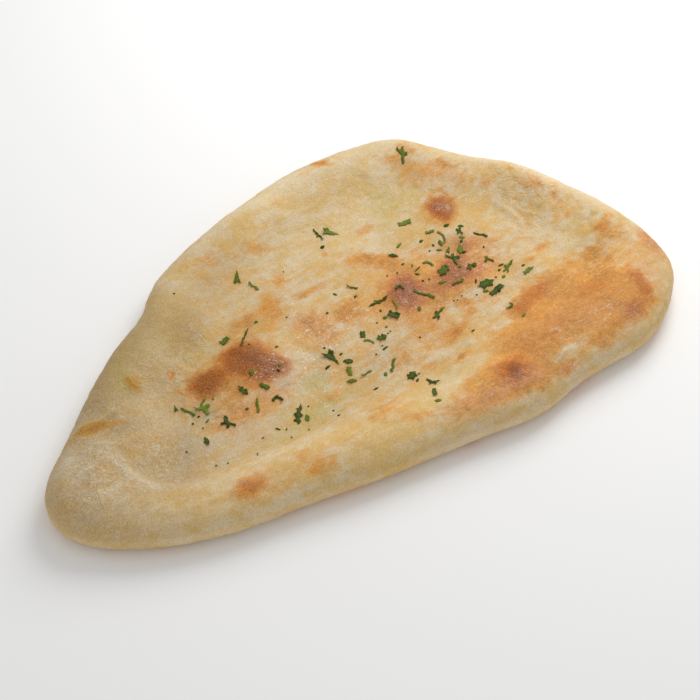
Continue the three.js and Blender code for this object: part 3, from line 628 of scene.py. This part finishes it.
def makeCrustMaterial():
    material, bench = startMaterial("bakedCrust")
    field = bench.painted
    size = {name: value * mm for name, value in loaf["grains"].items()}
    place = bench.node("ShaderNodeTexCoord", None, None, "Object")
    stretched = bench.stretch(place, (0.45, 1.3, 1.3))
    drawn = bench.stretch(place, (0.7, 1.2, 1.2))

    dust = bench.grain(place, size["dust"], 1.0, 0.5, 2.0)
    speck = bench.grain(place, size["speck"], 3.0, 0.7, 1.0, 0.3)
    frost = bench.grain(place, size["frost"], 4.0, 0.7, 5.0)
    dash = bench.grain(place, size["dash"], 4.0, 0.65, 15.0, 2.4)
    blotch = bench.grain(place, size["blotch"], 5.0, 0.65, 3.0, 0.4)
    mottle = bench.grain(place, size["mottle"], 4.0, 0.6, 4.0, 0.5)
    streak = bench.grain(stretched, size["streak"], 5.0, 0.65, 6.0, 0.8)
    thread = bench.grain(stretched, size["thread"], 3.0, 0.6, 10.0, 1.2)
    skinned = bench.ramp(bench.grain(place, size["skin"], 3.0, 0.6, 14.0), 0.4, 0.62)
    crease = (1.0 - bench.ridges(place, size["crease"], 12.0, 0.12)) * skinned
    fineCrease = (1.0 - bench.ridges(stretched, size["fineCrease"], 13.0, 0.14)) * skinned
    crinkle = (1.0 - bench.ridges(place, size["crinkle"], 16.0, 0.16)) * field("crinkle")
    stroke = 1.0 - bench.ridges(drawn, size["stroke"], 17.0, 0.14)
    lightStroke = bench.ramp(bench.grain(stretched, size["lightStroke"], 3.0, 0.6, 18.0, 2.0), 0.56, 0.64)
    # painted highlight: small bright strokes on the buttered skin
    paintedGlint = lightStroke * bench.ramp(frost, 0.46, 0.6) * field("glossAndHighlight")

    # how far each kind of browning has gone
    baked = field("toast") + (blotch - 0.5) * 0.95 + (streak - 0.5) * 0.75 + (speck - 0.5) * 0.28
    toast = bench.ramp(baked, 0.14, 0.98)
    roast = bench.ramp(baked, 0.8, 1.4)
    burnt = field("scorch") + (blotch - 0.5) * 0.5 + (speck - 0.5) * 0.55
    singe = bench.ramp(burnt, 0.1, 0.6)
    scorch = bench.ramp(burnt, 0.35, 1.05)
    char = bench.ramp(field("char") + (blotch - 0.5) * 0.4 + (speck - 0.5) * 0.7, 0.2, 0.95)
    brindle = bench.ramp(streak * 0.5 + dash * 0.5, 0.44, 0.6) * toast
    underneath = 1.0 - field("loose")
    broadMarks = bench.grain(place, size["ovenMark"], 4.0, 0.5, 7.0, 0.3)
    ovenMarks = broadMarks * 0.75 + bench.grain(place, size["ovenFleck"], 3.0, 0.55, 8.0) * 0.25
    bakedSpots = bench.ramp(ovenMarks, 0.47, 0.6) * underneath
    darkSpots = bench.ramp(ovenMarks, 0.56, 0.68) * underneath

    # what lies on the dough
    buttered = bench.ramp(field("butterAndShade") + (mottle - 0.5) * 0.8, 0.1, 1.0)
    veil = bench.ramp(streak * 0.6 + mottle * 0.4, 0.42, 0.6) * field("veil")
    # pinkish flecks over the brown, partly painted sheen
    rosySheen = field("rosySheen") * (bench.ramp(frost * 0.5 + dash * 0.5, 0.42, 0.62) * 0.62 + 0.12)
    honeyed = bench.ramp(field("honey") + (dash - 0.5) * 0.5, 0.1, 0.9)
    # dry flour, partly painted light on lit edges
    flourAndLitEdge = bench.ramp(field("flourAndLitEdge") * 0.6 + frost * 0.8, 0.55, 1.0)
    pale = bench.ramp(thread, 0.54, 0.72)
    fleck = bench.ramp(dash, 0.52, 0.68)

    doughShare = bench.ramp(mottle * 0.4 + blotch * 0.25 + streak * 0.35, 0.42, 0.58)
    colour = bench.blend(doughShare, loaf["cream"], loaf["straw"])
    # tan dough, partly painted shade
    colour = bench.blend(field("tan") * 0.8, colour, loaf["tan"])
    dustShare = bench.ramp(blotch * 0.5 + dash * 0.5, 0.4, 0.6)
    dustColour = bench.blend(dustShare, loaf["earthy"], loaf["dustyAndShaded"])
    # duller, greyer dough: partly painted shade at the narrow end
    colour = bench.blend(field("dustyAndShaded") * 0.85, colour, dustColour)
    # greenish butter, partly painted shade
    colour = bench.blend(buttered * 0.7, colour, loaf["buttered"])
    colour = bench.blend(veil * 0.8, colour, loaf["warm"])
    colour = bench.blend(flourAndLitEdge * 0.5, colour, loaf["flouryAndHighlight"])
    colour = bench.blend(pale * 0.25 + fleck * (0.12 + field("dustyAndShaded") * 0.35), colour, loaf["flouryAndHighlight"])
    colour = bench.blend(honeyed * 0.9, colour, loaf["honey"])
    colour = bench.blend(toast * 0.9 + bakedSpots * 0.7, colour, loaf["toasted"])
    colour = bench.blend(roast * 0.4 + singe * 0.78, colour, loaf["roasted"])
    colour = bench.blend(brindle * toast * 0.12, colour, loaf["browned"])
    colour = bench.blend(lightStroke * toast * 0.28, colour, loaf["flouryAndHighlight"])
    colour = bench.blend(scorch * 0.92 + darkSpots * 0.8, colour, loaf["browned"])
    colour = bench.blend(scorch * scorch * 0.45, colour, loaf["scorched"])
    colour = bench.blend(char * 0.7, colour, loaf["charred"])
    # partly painted sheen
    colour = bench.blend(rosySheen, colour, loaf["rosySheen"])
    # painted highlight along the crests of small folds
    colour = bench.blend(field("crestHighlight") * 0.75, colour, loaf["flouryAndHighlight"])
    # painted shade: the skin's creases and crinkles darker, more on toasted crust
    grooveShading = stroke * (0.03 + toast * 0.2) + fineCrease * (0.05 + toast * 0.2)
    grooveShading = grooveShading + crease * (0.04 + toast * 0.12) + crinkle * 0.15
    colour = bench.blend(grooveShading, colour, loaf["grooveShade"])
    coarse = 0.5 + field("dustyAndShaded") * 0.35 + toast * 0.2 + scorch * 1.2
    graininess = ((speck - 0.5) * 0.5 + (dust - 0.5) * 1.3) * coarse
    # the painted shade and painted light darken or lighten the colour, along with the grain
    colour = bench.scale(colour, 1.0 - field("shade") * 0.22 + graininess)
    # painted highlight on the buttered skin
    colour = bench.blend(paintedGlint * 0.75, colour, loaf["paintedHighlight"])

    roughness = loaf["roughness"] - field("glossAndHighlight") * loaf["shine"] + (frost - 0.5) * 0.2
    height = thread * 0.25 + dash * 0.35 + frost * 0.3 + speck * 0.3 + dust * 0.1
    height = height - crinkle * 0.5 - crease * 0.1 - fineCrease * 0.06
    relief = bench.node(
        "ShaderNodeBump", None, {"Strength": 0.75, "Distance": loaf["relief"] * mm, "Height": height}
    )
    endMaterial(bench, {
        "Base Color": colour, "Roughness": roughness, "Normal": relief, "Specular IOR Level": 0.24,
        "Subsurface Weight": 0.06, "Subsurface Radius": (1.0, 0.5, 0.25), "Subsurface Scale": 1.2 * mm,
    })
    return material


def makeCrust():
    skin = makeCrustBase()
    addCrustFields(skin.data)
    print("crust skin divided and marked,", len(skin.data.polygons), "faces")
    settings = {"Puff": loaf["puff"] * mm, "Pit depth": loaf["pit"][0] * mm, "Pit size": loaf["pit"][1] * mm}
    for name in ("undulation", "ripple", "pucker", "wrinkle"):
        settings[name.capitalize() + " height"] = loaf[name][0] * mm
        settings[name.capitalize() + " size"] = loaf[name][1] * mm
    settings.update({"Seed": loaf["seed"], "Material": makeCrustMaterial()})
    bench, taken = startRecipe("crustSurface", settings)
    place = bench.node("GeometryNodeInputPosition")
    normal = bench.node("GeometryNodeInputNormal")
    loose = bench.stored("loose")
    lift = bench.stored("rise")
    for i, label in enumerate(("Undulation", "Ripple", "Pucker")):
        lumps = bench.grain(place, taken[label + " size"], 2.0, 0.5, taken["Seed"] + float(i))
        lift = lift + (lumps - 0.5) * 2.0 * taken[label + " height"] * loose
    wrinkles = bench.ridges(place, taken["Wrinkle size"], taken["Seed"] + 5.0)
    lift = lift - (1.0 - wrinkles) * taken["Wrinkle height"] * loose
    lift = lift + taken["Puff"] * loose * (1.0 - bench.stored("topside") * 0.8)
    pits = bench.ramp(bench.grain(place, taken["Pit size"], 2.0, 0.5, taken["Seed"] + 9.0), 0.55, 0.75)
    lift = lift - pits * taken["Pit depth"] * (1.0 - loose)
    offset = bench.scale(normal, lift)
    shape = bench.node("GeometryNodeSetPosition", None, {"Geometry": taken["Geometry"], "Offset": offset})
    x, y, z = bench.split(place)
    notBelow = bench.node("ShaderNodeMath", {"operation": "MAXIMUM"}, {0: z, 1: 0.0})
    onTable = bench.combine(x, y, notBelow)
    shape = bench.node("GeometryNodeSetPosition", None, {"Geometry": shape, "Position": onTable})
    endRecipe(bench, shape, taken["Material"])
    useRecipe(skin, bench, settings)
    return bakeShape(skin, "naan_crust")


crust = makeCrust()
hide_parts("naan_bread")
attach(crust, "root")
print("crust made")

parsley = {
    "edge": 0.7,  # longest straight stretch of a cut edge, mm
    "nibble": 0.26,  # how ragged a cut edge is, mm
    "thickness": 0.16,  # mm
    "lift": 0.1,  # how far the leaf lies off the crust, mm
    "grow": 0.05,  # how much wider than its solid a leaf is drawn, mm
    "rib": 0.28,  # reach of the paler middle rib, mm
    "patch": 1.3,  # sizes of the patches of colour and of the dry ones, mm
    "dryPatch": 2.2,
    "seed": 11,
    "deep": paint(47, 58, 8),
    "leafy": paint(80, 98, 16),
    "lit": paint(124, 142, 44),
    "dried": paint(108, 92, 30),
}


def cutOutline(node):  # corners of a flake's upper face seen from above, counterclockwise, in mm
    shape = bmesh.new()
    shape.from_mesh(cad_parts[node].data)
    bmesh.ops.remove_doubles(shape, verts=shape.verts, dist=1e-6)
    bmesh.ops.dissolve_limit(shape, angle_limit=math.radians(1), verts=shape.verts, edges=shape.edges)
    top = max(shape.faces, key=lambda face: face.normal.z * face.calc_area())
    corners = [Vector((loop.vert.co.x, loop.vert.co.y)) / mm for loop in top.loops]
    shape.free()
    return corners


def grownOutline(corners, reach):  # the outline moved outwards at each corner
    grown = []
    for i, corner in enumerate(corners):
        before = (corner - corners[i - 1]).normalized()
        after = (corners[(i + 1) % len(corners)] - corner).normalized()
        out = Vector((before.y + after.y, -before.x - after.x))
        grown.append(corner + out.normalized() * reach if out.length > 0.2 else corner + before * reach)
    return grown


def raggedOutline(corners, dice):  # the same outline with the small nicks of a knife cut
    ragged = []
    for i, corner in enumerate(corners):
        along = corners[(i + 1) % len(corners)] - corner
        ragged.append(corner + Vector((dice.uniform(-1, 1), dice.uniform(-1, 1))) * parsley["nibble"] * 0.5)
        pieces = max(1, round(along.length / parsley["edge"]))
        across = Vector((-along.y, along.x)).normalized()
        for step in range(1, pieces):
            nick = dice.uniform(-1, 1) * parsley["nibble"]
            ragged.append(corner + along * (step / pieces) + across * nick)
    return ragged


def isInside(point, corners):
    inside = False
    for i, a in enumerate(corners):
        b = corners[i - 1]
        if (a.y > point.y) != (b.y > point.y) and point.x < (b.x - a.x) * (point.y - a.y) / (b.y - a.y) + a.x:
            inside = not inside
    return inside


def fillOutline(corners):  # triangles over an outline, with points inside so that the leaf can curl
    low = Vector((min(c.x for c in corners), min(c.y for c in corners)))
    high = Vector((max(c.x for c in corners), max(c.y for c in corners)))
    step = parsley["edge"]
    inner = []
    for i in range(int((high.x - low.x) / step) + 1):
        for j in range(int((high.y - low.y) / step) + 1):
            point = low + Vector(((i + 0.5 * (j % 2)) * step, j * step))
            clear = min((point - c).length for c in corners) > step * 0.45
            if clear and isInside(point, corners):
                inner.append(point)
    count = len(corners)
    filled = geometry.delaunay_2d_cdt(corners + inner, [], [list(range(count))], 1, 1e-5)
    return filled[0], filled[2]


def makeLeaves():
    nodes = sorted(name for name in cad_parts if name.startswith("parsley_"))
    places, faces, tone, rib = [], [], [], []
    for number, node in enumerate(nodes):
        dice = random.Random(parsley["seed"] + number)
        points, triangles = fillOutline(raggedOutline(grownOutline(cutOutline(node), parsley["grow"]), dice))
        cloud = np.array([(p.x, p.y) for p in points])
        middle = cloud.mean(0)
        spread = np.linalg.svd(cloud - middle, full_matrices=False)[2]
        u, v = ((cloud - middle) @ spread.T).T
        length, width = np.abs(u).max(), np.abs(v).max() + 0.2
        cup = dice.uniform(-0.15, 0.75) * min(width, 1.5)  # how far the sides turn up, mm
        tip = dice.uniform(0.0, 0.8) * min(length / 3, 1.2)  # and how far one end does
        end = dice.choice((-1, 1))
        curl = cup * (v / width) ** 2 + tip * np.clip(end * u / length, 0, 1) ** 2
        curl = curl + 0.12 * np.sin(u * 2.1 + number) * np.abs(v) / width
        curl = curl - curl.min()
        shade = dice.random()
        start = len(places)
        places += [(x * mm, y * mm, (parsley["lift"] + z) * mm) for (x, y), z in zip(cloud, curl)]
        faces += [[start + corner for corner in face] for face in triangles]
        tone += [shade] * len(points)
        rib += list(np.exp(-((v / parsley["rib"]) ** 2)))
    mesh = bpy.data.meshes.new("parsleyFlat")
    mesh.from_pydata(places, [], faces)
    storeField(mesh, "tone", tone)
    storeField(mesh, "rib", rib)
    return newObject("parsleyFlat", mesh), nodes


def makeParsleyMaterial():
    material, bench = startMaterial("choppedParsley")
    place = bench.node("ShaderNodeTexCoord", None, None, "Object")
    tone = bench.painted("tone")
    rib = bench.painted("rib")
    patch = bench.grain(place, parsley["patch"] * mm, 3.0, 0.6, 1.0)
    dry = bench.ramp(bench.grain(place, parsley["dryPatch"] * mm, 2.0, 0.5, 2.0), 0.62, 0.72)
    colour = bench.blend(bench.ramp(tone * 0.6 + patch * 0.6, 0.2, 0.75), parsley["deep"], parsley["leafy"])
    colour = bench.blend(bench.ramp(tone * 0.7 + patch * 0.5, 0.6, 1.0) * 0.7, colour, parsley["lit"])
    colour = bench.blend(rib * 0.25, colour, parsley["lit"])
    colour = bench.blend(dry * 0.4, colour, parsley["dried"])
    relief = bench.node(
        "ShaderNodeBump", None, {"Strength": 0.4, "Distance": 0.2 * mm, "Height": patch + rib * 0.6}
    )
    endMaterial(bench, {
        "Base Color": colour, "Roughness": 0.72 - patch * 0.15, "Normal": relief, "Specular IOR Level": 0.15,
        "Subsurface Weight": 0.1, "Subsurface Radius": (0.3, 1.0, 0.2), "Subsurface Scale": 0.4 * mm,
    })
    return material


def dropOnCrust(bench, shape, crustObject):  # sets each point its own height above the crust
    x, y, z = bench.split(bench.node("GeometryNodeInputPosition"))
    info = {"transform_space": "RELATIVE"}
    target = bench.node("GeometryNodeObjectInfo", info, {"Object": crustObject}, "Geometry")
    start = 100 * mm  # well above the bread
    hit = bench.node("GeometryNodeRaycast", None, {
        "Target Geometry": target, "Source Position": bench.combine(x, y, start),
        "Ray Direction": (0.0, 0.0, -1.0), "Ray Length": 2 * start,
    })
    ground, slope = (Wire(bench, hit.socket.node.outputs[name]) for name in ("Hit Position", "Hit Normal"))
    away = bench.scale(slope, z)
    landed = bench.node("ShaderNodeVectorMath", {"operation": "ADD"}, {0: ground, 1: away})
    return bench.node("GeometryNodeSetPosition", None, {"Geometry": shape, "Position": landed}), slope


parsleyMaterial = makeParsleyMaterial()
flatLeaves, flakeNodes = makeLeaves()
settings = {"Crust": crust, "Material": parsleyMaterial}
bench, taken = startRecipe("parsleyDrape", settings)
draped, slope = dropOnCrust(bench, taken["Geometry"], taken["Crust"])
endRecipe(bench, draped, taken["Material"])
useRecipe(flatLeaves, bench, settings)
body = flatLeaves.modifiers.new("leafThickness", "SOLIDIFY")
body.thickness = parsley["thickness"] * mm
body.offset = 1.0
leaves = bakeShape(flatLeaves, "parsley_leaves")
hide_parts(*flakeNodes)
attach(leaves, "root")
print("parsley laid,", len(leaves.data.polygons), "faces")

crumbs = {
    "shapes": 4,
    "corners": 7,
    "thickness": 0.22,  # at the rim, mm
    "crown": 1.6,  # how many times as thick the middle is
    "lift": 0.06,  # mm
    "seed": 5,
}

# Crumbs of parsley between the larger flakes, in mm: x, y, length, width, turn in degrees
crumbPlaces = [
    # round the scorched blister
    (-34.2, 9, 1.2, 1, 0), (-24, 19, 2, 1.6, 0), (-26, 1.8, 2, 1.5, 30), (-64.5, -3.7, 3.2, 1.1, 25),
    (-69.2, -12.8, 2.6, 0.8, 20), (-61.5, -5.3, 1.6, 0.9, 70), (-70.5, -8.8, 1.3, 0.9, 0),
    (-74.2, -10.3, 1, 1.3, 0), (-72.5, -14.5, 1.1, 0.8, 30), (-79, -33, 1.3, 0.9, 50),
    (-30.8, -6.8, 2, 1.5, 20), (-33, -8.9, 1.8, 1.5, 80), (-53.8, -17, 1.6, 1.3, 0),
    (-50.2, -32.3, 2.5, 0.8, 120), (-47.8, -34.3, 1.2, 0.8, 30), (-57.4, -32.5, 0.9, 0.7, 0),
    (-34, -29.7, 1.1, 0.8, 0), (-28, -37.8, 1.1, 0.9, 0), (-28.3, -41.5, 1.5, 0.9, 0),
    (-64.5, -39.2, 2.8, 0.6, 60), (-75.3, -35.2, 0.9, 0.7, 0), (-49.2, -39.7, 1, 0.7, 40),
    (-41.5, -40.2, 1, 0.7, 60), (-83, -19, 1, 0.9, 0),
    # along the trough
    (-11, -9.5, 1.4, 1.1, 0), (-7.7, -16.3, 2.2, 1.2, 20), (-16.2, -18.7, 3.6, 1.2, 15),
    (-0.5, -35.7, 2.6, 1.7, 40), (-8.3, -39, 2.6, 1, -15), (7, -46, 3, 1.3, 45), (9.7, -43.8, 1.3, 1, 0),
    (3.2, -62.5, 3, 2.2, 145), (8.2, -24.5, 3.8, 1, 8), (8.2, -22.6, 1.2, 0.9, 0), (3.3, -25, 1, 0.8, 0),
    # the middle
    (18.8, -11.3, 2.4, 2, 0), (19.7, -7.2, 1.5, 1.2, 60), (21.7, -1.3, 1.9, 1.4, 0),
    (32.8, -16, 3.2, 1.7, 50), (16.1, -15.5, 1.6, 1.2, 0), (15.7, -18.5, 1, 0.7, 0),
    (14.2, -18.8, 0.9, 0.7, 0), (14.5, -11.5, 1, 0.8, 0), (23, -28.2, 1.2, 0.9, 0),
    (42, -38.8, 2.5, 0.8, 10), (44, -5, 1.3, 1, 0), (46.5, -6, 1.2, 1, 40), (35, 7.3, 1, 0.8, 0),
    (39.3, 6, 1, 0.8, 0), (11.2, 12.2, 2.6, 1.4, 115), (16.8, 5.9, 2, 1.2, 20), (1.7, 5.1, 1.5, 1.1, 0),
    (44.7, 8.8, 2, 1.4, 0), (47, 5.6, 2.2, 0.7, 42), (46.8, 2.1, 4.6, 0.8, 15), (44.8, -0.5, 2.6, 1.4, 120),
    (27, 45, 1.2, 1, 0), (24.8, 38.5, 2.3, 2, 0), (2.5, 36.2, 1.1, 0.8, 60), (-44, 47.5, 1.2, 0.9, 0),
    (-12.5, 13.6, 1.1, 0.9, 0),
    # towards the broad end
    (64, -20.4, 3.6, 2.4, 20), (66, -27.6, 3.4, 2, 50), (61.4, -24.6, 3, 2, -30),
    (67.6, -10.4, 3.4, 2.2, 30), (80, 12.6, 3.4, 2, -20), (77.6, 10.4, 2.6, 1.6, 60),
    (63.4, -1.6, 2.6, 1.8, 0), (57, -4.4, 2.8, 1.8, 70), (75.4, 6.6, 3, 2, -50), (69.6, -1.6, 3, 1.8, 20),
    (84.6, -25.6, 2.8, 1.8, 40), (80, -18.8, 2.6, 1.6, 10), (51, 19.2, 4.2, 1.6, 20),
    (60, 15.3, 2.6, 1.8, 30), (75.3, 16.6, 3.2, 2, 0), (62.3, 10.1, 1.8, 1.3, 70),
    (62.3, 5.8, 2.8, 1.6, 140), (73.5, 4.7, 3, 1.3, 30), (62.6, -4.8, 5, 1.5, 50), (61.6, -7.7, 2, 1.4, 0),
    (49.5, -10.7, 4.2, 1.5, -15), (61.7, -18, 3, 1, 45), (75.2, -9.3, 2.2, 1.3, 0),
    (78.7, -3.8, 1.4, 1, 60), (76.8, -16.6, 3.2, 1.2, -10), (74.4, -18.5, 2.2, 1.6, 30),
    (73, -22.6, 2.6, 1.8, 20), (84, -22.8, 2.2, 1.1, 0), (63.5, -45.4, 3.5, 1.4, 20),
    (47.2, -21, 1, 0.8, 0), (48.7, -21.5, 0.9, 0.8, 0), (51.7, -20.8, 0.9, 0.7, 0), (57, -24, 1.1, 0.8, 0),
    (70.3, -21, 1, 0.9, 0), (58.8, 8.2, 1, 0.9, 0),
]


def makeCrumbShape(number):  # an uneven chip 1 mm long and wide that stands a little higher in its middle
    dice = random.Random(crumbs["seed"] + number)
    count = crumbs["corners"]
    ring = []
    for i in range(count):
        angle = 2 * math.pi * (i + dice.uniform(-0.25, 0.25)) / count
        reach = 0.5 * dice.uniform(0.65, 1.1)
        ring.append((reach * math.cos(angle), reach * math.sin(angle)))
    high = crumbs["thickness"]
    places = [(x, y, 0) for x, y in ring] + [(x * 0.9, y * 0.9, high) for x, y in ring]
    places += [(0, 0, high * crumbs["crown"])]
    faces = [tuple(reversed(range(count)))]
    for i in range(count):
        j = (i + 1) % count
        faces += [(i, j, count + j, count + i), (count + i, count + j, 2 * count)]
    mesh = bpy.data.meshes.new("crumbShape")
    mesh.from_pydata([(x * mm, y * mm, z * mm) for x, y, z in places], [], faces)
    return bpy.data.objects.new(f"crumbShape{number}", mesh)


def makeCrumbs():
    shapes = bpy.data.collections.new("crumbShapes")
    for number in range(crumbs["shapes"]):
        shapes.objects.link(makeCrumbShape(number))
    x, y, length, width, turn = np.array(crumbPlaces, float).T
    mesh = bpy.data.meshes.new("crumbPoints")
    mesh.from_pydata([(a * mm, b * mm, crumbs["lift"] * mm) for a, b in zip(x, y)], [], [])
    dice = random.Random(crumbs["seed"])
    storeField(mesh, "long", length)
    storeField(mesh, "wide", width)
    storeField(mesh, "turn", np.radians(turn))
    storeField(mesh, "tone", [dice.random() for _ in x])
    points = newObject("crumbPoints", mesh)
    settings = {"Crust": crust, "Shapes": shapes, "Seed": crumbs["seed"], "Material": parsleyMaterial}
    bench, taken = startRecipe("crumbScatter", settings)
    landed, slope = dropOnCrust(bench, taken["Geometry"], taken["Crust"])
    turned = bench.node("FunctionNodeEulerToRotation", None, {
        "Euler": bench.combine(0.0, 0.0, bench.stored("turn")),
    })
    upright = bench.node("FunctionNodeAlignRotationToVector", {"axis": "Z"}, {
        "Rotation": turned, "Vector": slope,
    })
    pool = bench.node("GeometryNodeCollectionInfo", None, {
        "Collection": taken["Shapes"], "Separate Children": True, "Reset Children": True,
    })
    chosen = bench.node("FunctionNodeRandomValue", {"data_type": "INT"}, {
        "Min": 0, "Max": crumbs["shapes"] - 1, "Seed": taken["Seed"],
    }, "Value")
    scattered = bench.node("GeometryNodeInstanceOnPoints", None, {
        "Points": landed, "Instance": pool, "Pick Instance": True, "Instance Index": chosen,
        "Rotation": upright, "Scale": bench.combine(bench.stored("long"), bench.stored("wide"), 1.0),
    })
    endRecipe(bench, scattered, taken["Material"])
    useRecipe(points, bench, settings)
    made = bakeShape(points, "parsley_crumbs")
    bpy.data.collections.remove(shapes)
    return made


crumbPiece = makeCrumbs()
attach(crumbPiece, "root")
print("crumbs laid,", len(crumbPiece.data.polygons), "faces")

studio = {
    "target": (1.9, -9.8, 0.0),  # mm
    "distance": 615.0,  # from the camera to the target, mm
    "azimuth": -38.0,
    "elevation": 46.0,
    "view": 26.0,  # field of view, degrees
    # the lamps' places and sizes are in metres
    "key": {"place": (0.42, 0.18, 0.4), "size": 0.42, "power": 2.4, "colour": (1.0, 0.99, 0.97)},
    "fill": {"place": (-0.7, -0.7, 0.9), "size": 1.2, "power": 0.8, "colour": (0.97, 0.98, 1.0)},
    "air": 0.57,  # strength of the even light from all round
    "floor": 1.5,  # half the floor's width, m
}


def addLight(name, light, target):
    lamp = bpy.data.lights.new(name, "AREA")
    lamp.shape = "DISK"
    lamp.size = light["size"]
    lamp.energy = light["power"]
    lamp.color = light["colour"]
    made = newObject(name, lamp)
    made.location = light["place"]
    made.rotation_euler = (Vector(light["place"]) - target).to_track_quat("Z", "Y").to_euler()


def makeStudio():
    target = Vector(studio["target"]) * mm
    turn, tilt = math.radians(studio["azimuth"]), math.radians(studio["elevation"])
    back = Vector((math.sin(turn) * math.cos(tilt), -math.cos(turn) * math.cos(tilt), math.sin(tilt)))
    lens = bpy.data.cameras.new("camera")
    lens.sensor_width = 36  # mm
    lens.lens = lens.sensor_width / 2 / math.tan(math.radians(studio["view"] / 2))
    lens.clip_start = 0.01
    camera = newObject("camera", lens)
    camera.location = target + back * studio["distance"] * mm
    camera.rotation_euler = back.to_track_quat("Z", "Y").to_euler()
    bpy.context.scene.camera = camera
    addLight("keyLight", studio["key"], target)
    addLight("fillLight", studio["fill"], target)
    world = bpy.data.worlds.new("air")
    world.use_nodes = True
    glow = world.node_tree.nodes["Background"].inputs
    glow["Color"].default_value = (1, 1, 1, 1)
    glow["Strength"].default_value = studio["air"]
    bpy.context.scene.world = world
    bpy.context.scene.view_settings.view_transform = "Standard"
    half = studio["floor"]
    corners = [(-half, -half, 0), (half, -half, 0), (half, half, 0), (-half, half, 0)]
    sheet = bpy.data.meshes.new("floor")
    sheet.from_pydata(corners, [], [(0, 1, 2, 3)])
    floor = newObject("floor", sheet)
    material, bench = startMaterial("paleFloor")
    endMaterial(bench, {"Base Color": (0.93, 0.93, 0.93, 1), "Roughness": 0.9, "Specular IOR Level": 0.1})
    sheet.materials.append(material)


makeStudio()
print("studio set")
